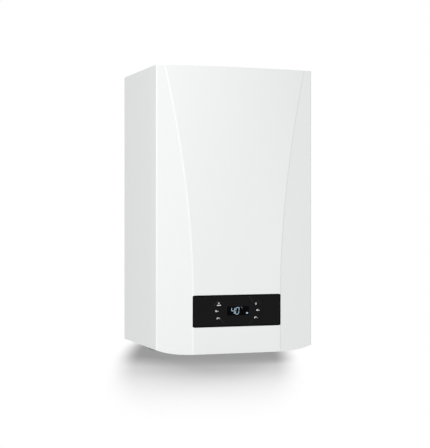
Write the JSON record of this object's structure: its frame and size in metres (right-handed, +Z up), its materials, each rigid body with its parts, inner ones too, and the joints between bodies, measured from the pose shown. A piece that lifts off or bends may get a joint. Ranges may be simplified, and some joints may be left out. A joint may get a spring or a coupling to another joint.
{
  "type": "condensing combi boiler",
  "caption": "Wall-hung condensing combi boiler with a one-piece curved white cover, black touch display, flue collar and pipe connections below.",
  "frame": {"origin": "centre of the wall bracket's rear face, on the wall plane", "axes": "+Z up, -Y out of the wall towards the front, +X to the right as seen from the front"},
  "size_m": [0.4, 0.309, 0.702],
  "materials": {
    "white_enamel": "smooth semi-gloss powder enamel",
    "display_glass": "gloss black touch panel",
    "galvanised_sheet": "galvanised sheet, fine spangle",
    "zinc_screws": "zinc plated",
    "stainless": "stainless steel",
    "cast_alloy": "as cast",
    "brass": "machined",
    "copper": "drawn copper tube",
    "black_plastic": "moulded",
    "grey_plastic": "moulded",
    "vessel_red": "red paint on pressed steel",
    "circuit_green": "solder resist",
    "blue_plastic": "moulded",
    "red_plastic": "moulded",
    "ceramic": "glazed ceramic"
  },
  "bodies": {
    "boiler": {"wall_bracket": "galvanised_sheet", "rear_frame": "galvanised_sheet", "top_panel": "galvanised_sheet", "bottom_plate": "galvanised_sheet", "control_box_hinge": "galvanised_sheet", "flue_collar": "galvanised_sheet", "flue_duct": "stainless", "heat_exchanger": "stainless", "exchanger_coil": "stainless", "burner_door": "cast_alloy", "burner": "stainless", "ignition_electrode": "ceramic", "fan_housing": "cast_alloy", "fan_motor": "black_plastic", "gas_air_mixer": "cast_alloy", "mixture_tube": "cast_alloy", "air_intake_pipe": "black_plastic", "air_silencer": "black_plastic", "expansion_vessel": "vessel_red", "flow_connection": "brass", "hot_water_connection": "copper", "gas_connection": "brass", "cold_water_connection": "brass", "return_connection": "brass", "flow_block": "brass", "return_block": "brass", "plate_heat_exchanger": "stainless", "pump_body": "cast_alloy", "pump_motor": "black_plastic", "return_pipe": "copper", "flow_pipe": "copper", "flow_turbine_housing": "brass", "cold_water_pipe": "copper", "air_vent": "brass", "diverter_actuator": "black_plastic", "filling_tap": "brass", "gas_valve": "cast_alloy", "gas_feed_pipe": "stainless", "condensate_trap": "grey_plastic", "condensate_hose": "black_plastic", "cable_gland": "black_plastic"},
    "cover": {"front_cover": "white_enamel", "cover_screw_left": "zinc_screws", "cover_screw_right": "zinc_screws"},
    "control_unit": {"control_box": "black_plastic", "control_box_lid": "black_plastic", "main_circuit_board": "circuit_green", "display_glass": "display_glass", "display_carrier": "black_plastic", "touch_board": "circuit_green"},
    "fan_rotor": {"fan_impeller": "black_plastic"},
    "pump_rotor": {"pump_impeller": "black_plastic"},
    "turbine_rotor": {"flow_turbine": "red_plastic"},
    "relief_knob": {"relief_valve_knob": "red_plastic"},
    "drain_handle": {"drain_cock_handle": "blue_plastic"},
    "filling_knob": {"filling_tap_knob": "blue_plastic"},
    "diverter": {"diverter_stem": "stainless"},
    "trap_cup": {"condensate_trap_cup": "grey_plastic"},
    "flue_cap": {"flue_sampling_cap": "black_plastic"},
    "air_cap": {"air_sampling_cap": "black_plastic"}
  },
  "joints": [
    {"name": "cover_slide", "type": "slide", "parent": "boiler", "child": "cover", "axis": [0, -1, 0], "range_m": [0, 0.36]},
    {"name": "control_unit_swing", "type": "hinge", "parent": "boiler", "child": "control_unit", "pos_m": [0, -0.273, -0.5825], "axis": [1, 0, 0], "range_deg": [0, 80]},
    {"name": "fan_spin", "type": "hinge", "parent": "boiler", "child": "fan_rotor", "pos_m": [-0.115, -0.16, -0.345], "axis": [0, 1, 0], "continuous": true},
    {"name": "pump_spin", "type": "hinge", "parent": "boiler", "child": "pump_rotor", "pos_m": [0.13, -0.11, -0.4797], "axis": [0, 1, 0], "continuous": true},
    {"name": "flow_turbine_spin", "type": "hinge", "parent": "boiler", "child": "turbine_rotor", "pos_m": [0.065, -0.11, -0.57], "axis": [0, 0, 1], "continuous": true},
    {"name": "relief_knob_turn", "type": "hinge", "parent": "boiler", "child": "relief_knob", "pos_m": [-0.13, -0.165, -0.56], "axis": [0, -1, 0], "range_deg": [-90, 0]},
    {"name": "drain_cock_turn", "type": "hinge", "parent": "boiler", "child": "drain_handle", "pos_m": [0.13, -0.155, -0.56], "axis": [0, -1, 0], "range_deg": [0, 90]},
    {"name": "filling_tap_turn", "type": "hinge", "parent": "boiler", "child": "filling_knob", "pos_m": [0.0975, -0.165, -0.6105], "axis": [0, 0, -1], "range_deg": [-360, 0]},
    {"name": "diverter_travel", "type": "slide", "parent": "boiler", "child": "diverter", "axis": [1, 0, 0], "range_m": [0, 0.008]},
    {"name": "trap_cup_drop", "type": "slide", "parent": "boiler", "child": "trap_cup", "axis": [0, 0, -1], "range_m": [0, 0.04]},
    {"name": "flue_cap_lift", "type": "slide", "parent": "boiler", "child": "flue_cap", "axis": [0, 0, 1], "range_m": [0, 0.02]},
    {"name": "air_cap_lift", "type": "slide", "parent": "boiler", "child": "air_cap", "axis": [0, 0, 1], "range_m": [0, 0.02]}
  ],
  "couplings": [
    {"joint": "control_unit_swing", "follows": "cover_slide", "rad_per_m": 3.8775}
  ]
}
